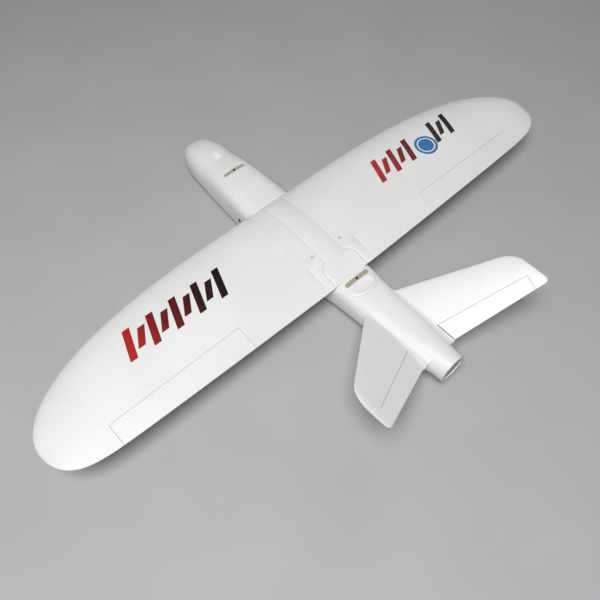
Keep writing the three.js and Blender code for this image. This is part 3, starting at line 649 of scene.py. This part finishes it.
def make_marks(lifted, sunk):
    """Bars that fade from red to black on both wings, and a blue roundel on the starboard one."""
    port = film([print_column(bar_outline(*bar)) for bar in PORT_BARS], lifted, sunk)
    print_piece(port, "wing_bars_port", "wing_port", print_material("print_port", *MARKS["port_fade"]))
    for skin in (lifted, sunk):
        moved(skin, MIRROR).data.flip_normals()
    bars = film([print_column(bar_outline(*bar)) for bar in STARBOARD_BARS], lifted, sunk)
    fade = print_material("print_starboard", *MARKS["starboard_fade"])
    print_piece(bars, "wing_bars_starboard", "wing_starboard", fade)
    at = ROUNDEL_AT
    ring = print_column(circle_outline(at["x"], at["y"], at["ring_outer"]))
    cut(ring, print_column(circle_outline(at["x"], at["y"], at["ring_inner"]), 5))
    disc = print_column(circle_outline(at["x"], at["y"], at["disc"]))
    roundel = film([ring, disc], lifted, sunk)
    print_piece(roundel, "wing_roundel_starboard", "wing_starboard", ROUNDEL)
    bpy.data.objects.remove(lifted)
    bpy.data.objects.remove(sunk)


def print_piece(made, name, body, material):
    made.name = name
    smooth(made)
    made.data.materials.clear()
    made.data.materials.append(material)
    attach(made, body)


# ---------------------------------------------------------------- V-tail
def saddle_ring(y):
    """Section in the fin's frame: its top runs in a smooth hollow from the boom's skin to the fin."""
    half_width, top, bottom, upper, _ = station_at(y)

    def on_boom(angle):
        x, z = (value ** (2 / upper) for value in (sin(angle), cos(angle)))
        return FIN_FRAME.inverted() @ Vector((half_width * x, y, (top + bottom) / 2 + (top - bottom) / 2 * z))

    skin = on_boom(SADDLE["from"])
    along = on_boom(SADDLE["from"] + 0.01) - skin
    bend = min(skin.x + (SADDLE["half"] - skin.z) / along.z * along.x, -2)
    hollow = []
    for i in range(25):
        left = (1 - i / 24) ** 2
        s = left * skin.x + 2 * (i / 24) * (1 - i / 24) * bend
        hollow.append((s, y, left * skin.z + (1 - left) * SADDLE["half"]))
    return hollow + [(0, y, -SADDLE["half"]), (-24, y, -SADDLE["half"] - 2), (skin.x, y, skin.z - 12)]


def make_tail():
    tip = FIN["round_from"]
    stations = [GAP + (tip - GAP) * i / 24 for i in range(25)]
    stations += [tip + (FIN["end"] - tip) * sin(pi / 2 * i / 18) for i in range(1, 19)]
    whole = loft("fin", [fin_ring(s) for s in stations])
    skin = moved(clone(whole), placed(HINGE_ON_FIN).inverted())
    make_linkage("ruddervator", RUDDERVATOR_LINK, RUDDERVATOR_FRAME, skin, "airframe")
    bpy.data.objects.remove(skin)
    bay = moved(surface_bay(RUDDERVATOR, RUDDERVATOR_LENGTH), placed(HINGE_ON_FIN))
    block = moved(surface_block(RUDDERVATOR, RUDDERVATOR_LENGTH), placed(HINGE_ON_FIN))
    surface = common(clone(whole), block, box((RUDDERVATOR["root"], 0, -REACH), (REACH, HALF_LENGTH, REACH)))
    bore = rod("x", FIN_ROD["radius"] + GAP, FIN_ROD["from"] - 2, FIN_ROD["to"] + 1, (0, FIN_ROD["y"], 0), 24)
    pocket = moved(servo_pocket(RUDDERVATOR_LINK), placed(HINGE_ON_FIN))
    cut(whole, bay, pocket, clone(bore))
    to_row = placed(FIN_FRAME)
    dress_pair(moved(whole, to_row), "tail_fin_skin", "airframe", "tail_fin", FOAM, sided=False)
    dress_pair(moved(surface, to_row), "ruddervator_skin", "ruddervator", "ruddervator", FOAM)
    step = (SADDLE["rear"] - SADDLE["front"]) / 48
    saddle = moved(loft("saddle", [saddle_ring(SADDLE["front"] + i * step) for i in range(49)]), to_row)
    cut(saddle, body_solid("skin", BODY["nose"], BODY["tail"], GAP, GAP, GAP), moved(bore, to_row))
    dress_pair(saddle, "fin_saddle", "airframe", "tail_fin_mount", FOAM, sided=False)


# ---------------------------------------------------------------- servo, arm, pushrod and horn
def rounded(made, width):
    """Softens the edges of a small hard piece."""
    bevel = made.modifiers.new("edges", "BEVEL")
    bevel.width, bevel.segments, bevel.limit_method = width * MM, 2, "ANGLE"
    bevel.angle_limit, bevel.use_clamp_overlap = BEVELLED, True
    bevel.harden_normals = True
    return made


def servo_piece():
    """Case with its two parting grooves, mounting ears with screw holes, and the output boss."""
    depth, half = SERVO["depth"], SERVO["width"] / 2
    front, low, top = SERVO["front"], SERVO["shaft_inset"] - SERVO["length"], SERVO["shaft_inset"]
    ear_x = front - SERVO["ear_from"]
    case = box((front - depth, low, -half), (front, top, half))
    for x in (front - 4.2, front - depth + 5):
        frame_cut = box((x - 0.2, low - 1, -half - 1), (x + 0.2, top + 1, half + 1))
        cut(frame_cut, box((x - 1, low + 0.3, -half + 0.3), (x + 1, top - 0.3, half - 0.3)))
        cut(case, frame_cut)
    reach = SERVO["ear_reach"]
    ears = box((ear_x - 2, low - reach, -half + 0.1), (ear_x, top + reach, half - 0.1))
    union(case, ears)
    for y in (low - reach / 2, top + reach / 2):
        cut(case, rod("x", 1.1, ear_x - 4, ear_x + 4, (0, y, 0), 32))
    boss = turned("x", [(front - 2, 5.4), (-2.7, 5.4), (-2.4, 5.1)], sides=56)
    return union(case, boss, rod("x", 1.9, -5, -1.1, sides=32))


def arm_piece(arm):
    """Tapered blade with a row of holes, its hub and the hub's screw recess."""
    outline = [(2.8, 0)]
    outline += [(2.0 * cos(a), -arm + 2.0 * sin(a)) for a in [-pi * k / 16 for k in range(17)]]
    outline.append((-2.8, 0))
    blade = beam(outline, -0.8, 0.8)
    union(blade, turned("x", [(-0.8, 3.6), (1.3, 3.6), (1.6, 3.3)], sides=56))
    holes = [rod("x", ROD["hole"], -3, 3, (0, 0, -arm), 32)]
    holes += [rod("x", 0.55, -3, 3, (0, 0, -arm + 3.4 * k), 20) for k in range(1, 4)]
    return cut(blade, rod("x", 1.5, 0.9, 3, sides=32), *holes)


def pushrod_piece(ahead, down):
    """Wire with a round bend at each end."""
    tilt = atan2(down, ahead)
    run = hypot(ahead, down)
    bend, offset = 1.6, ROD["offset"]
    path = [(-ROD["tail"], 0)]
    turns = [pi / 2 * k / 8 for k in range(9)]
    path += [(offset - bend + bend * sin(a), bend - bend * cos(a)) for a in turns]
    path += [(x, run - y) for x, y in path[::-1]]
    rings = []
    for i, (x, y) in enumerate(path):
        before, after = path[max(i - 1, 0)], path[min(i + 1, len(path) - 1)]
        heading = Vector((after[0] - before[0], after[1] - before[1], 0)).normalized()
        across = Vector((-heading.y, heading.x, 0))
        ring = []
        for k in range(24):
            angle = 2 * pi * k / 24
            ring.append(Vector((x, y, 0)) + ROD["wire"] * (across * cos(angle) + Vector((0, 0, sin(angle)))))
        rings.append(ring)
    return moved(loft("pushrod", rings), Matrix.Rotation(tilt, 4, "X"))


def horn_piece(arm, along, skin, depth):
    """Triangular plate with its row of holes, on a foot against the lower skin."""
    buried = -depth / 2
    outline = [(2.2 * cos(a), -arm + 2.2 * sin(a)) for a in [pi + pi / 2 * k / 8 for k in range(13)]]
    outline += [(24, -depth), (24, buried), (11, buried), (11, -depth + 1)]
    plate = beam(outline, along - 0.8, along + 0.8)
    union(plate, box((along - 5, 11, -depth - 1.2), (along + 5, 26, buried)))
    cut(plate, moved(clone(skin), Matrix.Translation((0, 0, -GAP * MM))))
    holes = [rod("x", ROD["hole"], along - 3, along + 3, (0, 0, -arm), 32)]
    holes += [rod("x", 0.55, along - 3, along + 3, (1.5 * k, 0, 2.2 * k - arm), 20) for k in (1, 2)]
    return cut(plate, *holes)


def make_linkage(name, link, hinge, skin, body):
    """All four pieces of one linkage and their mirror images; skin is the whole wing in the hinge frame."""
    along, ahead, down, arm = link["along"], link["ahead"], link["down"], link["arm"]
    shaft = hinge @ Matrix.Translation((along, -ahead, -down))
    wire = hinge @ Matrix.Translation((along, -ahead, -down - arm))
    parts = [
        (servo_piece(), shaft, f"{name}_servo", body, CASE, 0.3),
        (arm_piece(arm), shaft, f"{name}_servo_arm", f"{name}_servo_arm", NYLON, 0.2),
        (pushrod_piece(ahead, down), wire, f"{name}_pushrod", f"{name}_pushrod", STEEL, 0),
        (horn_piece(arm, along, skin, link["horn"]), hinge, f"{name}_horn", name, NYLON, 0.2),
    ]
    for made, place, node, rides, material, edge in parts:
        if edge:
            rounded(made, edge)
        sided = rides != "airframe"
        dress_pair(moved(made, placed(place)), f"{node}_body", rides, node, material, sided)


# ---------------------------------------------------------------- pieces, bodies and nodes
def dress(made, name, body, node, material):
    """Finishes a piece: its name, its smooth shading, its material, its body and the node it stands for."""
    made.name = name
    smooth(made)
    made.data.materials.clear()
    made.data.materials.append(material)
    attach(made, body)
    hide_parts(node)
    return made


def dress_pair(made, name, body, node, material, sided=True):
    """The port piece and its mirror image."""
    other = mirrored(made)
    for piece, side in ((made, "port"), (other, "starboard")):
        dress(piece, f"{name}_{side}", f"{body}_{side}" if sided else body, f"{node}_{side}", material)


# ---------------------------------------------------------------- materials
class Nodes:
    """Short way to build a node material."""

    def __init__(self, name):
        self.material = bpy.data.materials.new(name)
        self.material.use_nodes = True
        self.tree = self.material.node_tree
        self.shader = self.tree.nodes["Principled BSDF"]
        self.place = self.add("ShaderNodeTexCoord").outputs["Object"]

    def add(self, kind, inputs=None, **settings):
        node = self.tree.nodes.new(kind)
        for key, value in settings.items():
            setattr(node, key, value)
        for key, value in (inputs or {}).items():
            if isinstance(value, bpy.types.NodeSocket):
                self.tree.links.new(value, node.inputs[key])
            else:
                node.inputs[key].default_value = value
        return node

    def stretched(self, scale):
        return self.add("ShaderNodeMapping", {"Vector": self.place, "Scale": scale}).outputs["Vector"]

    def noise(self, scale, detail=3, vector=None):
        inputs = {"Vector": vector or self.place, "Scale": scale, "Detail": detail}
        return self.add("ShaderNodeTexNoise", inputs).outputs["Fac"]

    def ramp(self, factor, stops):
        node = self.add("ShaderNodeValToRGB", {"Fac": factor})
        elements = node.color_ramp.elements
        while len(elements) < len(stops):
            elements.new(0.5)
        for element, (position, colour) in zip(elements, stops):
            element.position = position
            element.color = (*colour, 1)
        return node.outputs["Color"]

    def between(self, factor, low, high, full=1):
        """From low to high as the factor goes from 0 to full."""
        inputs = {"Value": factor, "From Max": full, "To Min": low, "To Max": high}
        return self.add("ShaderNodeMapRange", inputs).outputs["Result"]

    def bump(self, height, strength, distance, normal=None):
        inputs = {"Height": height, "Strength": strength, "Distance": distance}
        if normal:
            inputs["Normal"] = normal
        return self.add("ShaderNodeBump", inputs).outputs["Normal"]

    def link(self, socket, name):
        self.tree.links.new(socket, self.shader.inputs[name])

    def set(self, **values):
        for name, value in values.items():
            self.shader.inputs[name.replace("_", " ")].default_value = value


def foam_material():
    """Moulded bead foam: shallow cells with fine joints between them, and a slight sheen."""
    m = Nodes("bead_foam")
    cells = m.add("ShaderNodeTexVoronoi", {"Vector": m.place, "Scale": 260}, feature="DISTANCE_TO_EDGE")
    tint = m.add("ShaderNodeTexVoronoi", {"Vector": m.place, "Scale": 260})
    joints = m.between(cells.outputs["Distance"], 0, 1, 0.12)
    shade = m.ramp(m.noise(5, 4), [(0.3, (0.80, 0.80, 0.79)), (0.7, (0.86, 0.86, 0.855))])
    spot = m.between(tint.outputs["Color"], 0.97, 1.0)
    mixed = m.add("ShaderNodeVectorMath", {0: shade, 1: spot}, operation="MULTIPLY")
    m.link(mixed.outputs["Vector"], "Base Color")
    m.link(m.between(m.noise(40, 3), 0.32, 0.44), "Roughness")
    waves = m.bump(m.noise(14, 2), 0.25, 0.0012)
    m.link(m.bump(joints, 0.30, 0.00025, waves), "Normal")
    m.set(Specular_IOR_Level=0.45)
    return m.material


def plywood_material():
    """Birch plywood: long grain along X, with its layers on the cut edges."""
    m = Nodes("birch_plywood")
    grain = m.noise(60, 6, m.stretched((1.5, 22, 22)))
    face = m.ramp(grain, [(0.3, (0.34, 0.28, 0.20)), (0.5, (0.50, 0.43, 0.32)), (0.75, (0.62, 0.55, 0.43))])
    layers = m.add("ShaderNodeTexWave", {"Vector": m.place, "Scale": 320, "Distortion": 0.6},
                   bands_direction="Z").outputs["Fac"]
    dark = m.between(layers, 0.86, 1.0)
    mixed = m.add("ShaderNodeVectorMath", {0: face, 1: dark}, operation="MULTIPLY")
    m.link(mixed.outputs["Vector"], "Base Color")
    m.link(m.between(grain, 0.75, 0.6), "Roughness")
    m.link(m.bump(grain, 0.35, 0.0003), "Normal")
    return m.material


def carbon_material():
    """Wrapped carbon tube: crossed tows under clear resin."""
    m = Nodes("carbon_tube")
    weave = m.add("ShaderNodeTexWave", {"Vector": m.place, "Scale": 420, "Distortion": 0.4},
                  bands_direction="DIAGONAL").outputs["Fac"]
    m.link(m.ramp(weave, [(0.2, (0.008, 0.008, 0.009)), (0.8, (0.035, 0.036, 0.04))]), "Base Color")
    m.link(m.between(weave, 0.28, 0.42), "Roughness")
    m.link(m.bump(weave, 0.3, 0.0001), "Normal")
    m.set(Coat_Weight=0.4)
    return m.material


def plastic_material(name, low, high, roughness, scale):
    """Moulded plastic with a fine spark-eroded grain."""
    m = Nodes(name)
    grain = m.noise(scale, 3)
    m.link(m.ramp(m.noise(30, 4), [(0.3, low), (0.7, high)]), "Base Color")
    m.link(m.between(grain, roughness - 0.06, roughness + 0.08), "Roughness")
    m.link(m.bump(grain, 0.2, 0.00008), "Normal")
    return m.material


def steel_material(name, low, high, roughness):
    """Drawn steel, plated or blackened, with fine lines."""
    m = Nodes(name)
    lines = m.noise(90, 4, m.stretched((14, 1, 14)))
    m.link(m.ramp(lines, [(0.3, low), (0.7, high)]), "Base Color")
    m.link(m.between(lines, roughness, roughness + 0.16), "Roughness")
    m.link(m.bump(lines, 0.2, 0.00005), "Normal")
    m.set(Metallic=1.0)
    return m.material


def print_material(name, red_x, black_x):
    """Printed film that fades from red to black along X."""
    m = Nodes(name)
    x = m.add("ShaderNodeSeparateXYZ", {0: m.place}).outputs["X"]
    along = m.add("ShaderNodeMapRange", {"Value": x, "From Min": red_x * MM, "From Max": black_x * MM})
    fade = m.ramp(along.outputs["Result"], [(0.05, (0.46, 0.016, 0.014)), (0.35, (0.17, 0.009, 0.012)),
                                            (0.7, (0.030, 0.004, 0.005)), (1.0, (0.004, 0.002, 0.003))])
    wear = m.between(m.noise(220, 4), 0.8, 1.15)
    mixed = m.add("ShaderNodeVectorMath", {0: fade, 1: wear}, operation="MULTIPLY")
    m.link(mixed.outputs["Vector"], "Base Color")
    m.link(m.between(m.noise(90, 3), 0.3, 0.42), "Roughness")
    return m.material


def roundel_material():
    """Printed blue film, its tone varying at random."""
    m = Nodes("print_blue")
    tone = m.ramp(m.noise(120, 4), [(0.35, (0.02, 0.13, 0.36)), (0.65, (0.03, 0.20, 0.48))])
    m.link(tone, "Base Color")
    m.link(m.between(m.noise(90, 3), 0.3, 0.42), "Roughness")
    return m.material


FOAM = foam_material()
PLYWOOD = plywood_material()
CARBON = carbon_material()
NYLON = plastic_material("moulded_nylon", (0.66, 0.65, 0.60), (0.76, 0.75, 0.70), 0.48, 900)
CASE = plastic_material("servo_case", (0.018, 0.020, 0.024), (0.030, 0.033, 0.038), 0.42, 1400)
WHITE_PLASTIC = plastic_material("white_plastic", (0.88, 0.88, 0.875), (0.92, 0.92, 0.915), 0.30, 900)
# Near-black grommet rubber: painted shade that darkens the cable holes in place of the shade inside them
HOLE_SHADE_RUBBER = plastic_material("black_rubber_hole_shade", (0.010, 0.010, 0.010), (0.022, 0.022, 0.022), 0.62, 700)
STEEL = steel_material("plated_steel", (0.50, 0.50, 0.50), (0.66, 0.65, 0.63), 0.22)
BLACK_STEEL = steel_material("black_steel", (0.015, 0.015, 0.016), (0.035, 0.034, 0.033), 0.36)
ROUNDEL = roundel_material()


# ---------------------------------------------------------------- plates, tubes and screws
def make_tubes():
    for name, spar in zip(("main_spar_tube", "rear_spar_tube"), SPARS):
        place = (0, spar["y"], spar["z"])
        tube = rod("x", spar["radius"], -spar["half"], spar["half"], place, 72)
        cut(tube, rod("x", spar["radius"] - 1, -REACH, REACH, place, 72))
        dress(tube, f"{name}_body", "airframe", name, CARBON)
    pin = rod("x", FIN_ROD["radius"], FIN_ROD["from"], FIN_ROD["to"], (0, FIN_ROD["y"], 0), 40)
    moved(pin, placed(FIN_FRAME))
    dress_pair(pin, "tail_fin_rod_body", "airframe", "tail_fin_rod", CARBON, sided=False)


def make_motor_plate():
    y, thick, centre = MOUNT["y"], MOUNT["thick"], (0, 0, MOUNT["z"])
    disc = rod("y", MOUNT["seat_r"] - GAP, y, y + thick, centre, 120)
    cut(disc, rod("y", MOUNT["shaft_r"], y - 1, y + thick + 1, centre, 72))
    for i in range(4):
        angle = pi / 4 + i * pi / 2
        place = (MOUNT["circle"] * cos(angle), 0, MOUNT["z"] + MOUNT["circle"] * sin(angle))
        cut(disc, rod("y", MOUNT["screw_r"], y - 1, y + thick + 1, place, 40))
    dress(rounded(disc, 0.3), "motor_plate_body", "airframe", "motor_mount_plate", PLYWOOD)


def make_screws():
    """Panel screws with a domed head and a driver slot, and a threaded shank."""
    head_z = TONGUE["z"] + PLATE["ply"] + GAP
    radius, head = TONGUE["screw_r"], TONGUE["head_r"]
    thread = []
    for k in range(18):
        thread += [(96.4 + k * 1.1, radius - 0.35), (96.95 + k * 1.1, radius)]
    profile = [(96, radius - 0.6), *thread, (head_z - 0.2, radius - 0.2), (head_z, head)]
    turns = [pi / 2 * (1 - k / 8) for k in range(8)]
    profile += [(head_z + 3 - 1.4 * (1 - cos(a)), head * sin(a)) for a in turns]
    screw = turned("z", profile, (TONGUE["screw_x"], TONGUE["y"], 0), 48)
    x, y = TONGUE["screw_x"], TONGUE["y"]
    cut(screw, box((x - 6, y - 0.5, head_z + 1.8), (x + 6, y + 0.5, head_z + 4)))
    dress_pair(screw, "wing_screw_body", "airframe", "wing_fixing_screw", NYLON, sided=False)


def make_grommets():
    """Rubber grommets in the cable holes, with a rounded flange; their near-black rubber is painted shade
    that darkens the holes.
    """
    skin, sleeve, flange = station_at(CABLE_HOLE["y"])[0], CABLE_HOLE["radius"] - GAP, GROMMET["flange"]
    half = (GROMMET["stand"] - GAP) / 2
    profile = [(skin - GROMMET["inside"], sleeve - 0.4), (skin - GROMMET["inside"] + 0.4, sleeve)]
    profile += [(skin + GAP, sleeve)]
    profile += [(skin + GAP + half * (1 - cos(a)), flange - half * (1 - sin(a)))
                for a in [pi * k / 12 for k in range(13)]]
    place = (0, CABLE_HOLE["y"], CABLE_HOLE["z"])
    ring = cut(turned("x", profile, place, 56), rod("x", GROMMET["bore"], 0, REACH, place, 40))
    dress_pair(ring, "cable_grommet_body", "airframe", "cable_grommet", HOLE_SHADE_RUBBER, sided=False)


def make_latch_screws():
    """Black socket screws through the latch plates."""
    for name, latch in LATCHES.items():
        base = station_at(latch["y"])[1] + GAP
        shank, head, height = LATCH_SCREW["shank"], LATCH_SCREW["head"], LATCH_SCREW["height"]
        foot = base - LATCH_SCREW["reach"]
        profile = [(foot - GAP, shank - 0.5), (foot + 0.4, shank)]
        profile += [(base, shank), (base, head), (base + height * 0.5, head)]
        profile += [(base + height * (0.5 + 0.5 * sin(a)), head * (0.7 + 0.3 * cos(a)))
                    for a in [pi / 2 * k / 6 for k in range(1, 7)]]
        screw = turned("z", profile, (0, latch["y"], 0), 48)
        socket = turned("z", [(base + 0.5, 1.4), (base + height + 1, 1.4)], (0, latch["y"], 0), 6)
        node = f"{name}_hatch_latch_screw"
        dress(cut(screw, socket), f"{node}_body", f"{name}_hatch", node, BLACK_STEEL)


def make_latch_plates():
    """Thin strips with round ends, let into the hatches."""
    for name, latch in LATCHES.items():
        skin_z = station_at(latch["y"])[1]
        half, round_ = latch["length"] / 2, latch["width"] / 2
        ends = [(half - round_ + round_ * cos(a), latch["y"] + round_ * sin(a))
                for a in [pi * (k / 24 - 0.5) for k in range(25)]]
        outline = ends + [(-x, y) for x, y in ends[::-1]]
        strip = cut(column(outline, skin_z - PLATE["depth"], skin_z), *latch_holes(latch))
        node = f"{name}_hatch_latch_plate"
        dress(rounded(strip, 0.2), f"{node}_body", f"{name}_hatch", node, PLYWOOD)


def finish_plywood():
    """Flat laser-cut pieces keep their CAD shape and get rounded edges and wood."""
    for name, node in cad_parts.items():
        if name.endswith(("former", "tray", "seat_plate")) or name.startswith(("spar_rib", "wing_joiner")):
            node.data.materials.clear()
            node.data.materials.append(PLYWOOD)
            rounded(node, 0.25)


# ---------------------------------------------------------------- studio
def make_camera():
    data = bpy.data.cameras.new("camera")
    data.sensor_width = 36
    data.lens = 38.1466
    data.clip_end = 50
    camera = bpy.data.objects.new("camera", data)
    bpy.context.scene.collection.objects.link(camera)
    right = Vector((-0.7363974, 0.6763375, 0.0169239))
    up = Vector((-0.5602860, -0.6236796, 0.5450719))
    back = Vector((0.3792077, 0.3919073, 0.8382185))
    pose = Matrix((right, up, back)).transposed().to_4x4()
    pose.translation = (0.776007, 0.777300, 1.479659)
    camera.matrix_world = pose
    bpy.context.scene.camera = camera


def area_light(name, place, target, size, power, colour=(1, 1, 1)):
    data = bpy.data.lights.new(name, "AREA")
    data.shape = "DISK"
    data.size, data.energy, data.color = size, power, colour
    light = bpy.data.objects.new(name, data)
    bpy.context.scene.collection.objects.link(light)
    light.location = place
    light.rotation_mode = "QUATERNION"
    light.rotation_quaternion = (Vector(target) - Vector(place)).to_track_quat("-Z", "Y")


def make_studio():
    floor = loft("floor", [[(x, y, z) for x, y in ((-9e3, -9e3), (9e3, -9e3), (9e3, 9e3), (-9e3, 9e3))]
                           for z in (-20, 0)])
    m = Nodes("studio_floor")
    m.link(m.ramp(m.noise(3, 3), [(0.3, (0.44, 0.44, 0.45)), (0.7, (0.47, 0.47, 0.48))]), "Base Color")
    m.set(Roughness=0.85)
    floor.data.materials.append(m.material)
    world = bpy.data.worlds.new("studio")
    world.use_nodes = True
    world.node_tree.nodes["Background"].inputs["Color"].default_value = (1, 1, 1, 1)
    world.node_tree.nodes["Background"].inputs["Strength"].default_value = 0.12
    bpy.context.scene.world = world
    bpy.context.scene.view_settings.view_transform = "Standard"
    area_light("key", (1.4, 1.0, 3.4), (0, 0.1, 0.1), 1.6, 124)
    area_light("fill", (-2.4, -1.0, 2.6), (0, 0, 0.1), 2.4, 7)


# ---------------------------------------------------------------- build
make_camera()
make_fuselage()
make_hatch("front", front_hatch_plan, LATCHES["front"])
make_hatch("rear", rear_hatch_plan, LATCHES["rear"])
make_vent()
make_wings()
make_tail()
make_tubes()
make_motor_plate()
make_screws()
make_latch_plates()
make_latch_screws()
make_grommets()
finish_plywood()
make_studio()
for spare in (OUTSIDE, FILLED):
    bpy.data.objects.remove(spare)
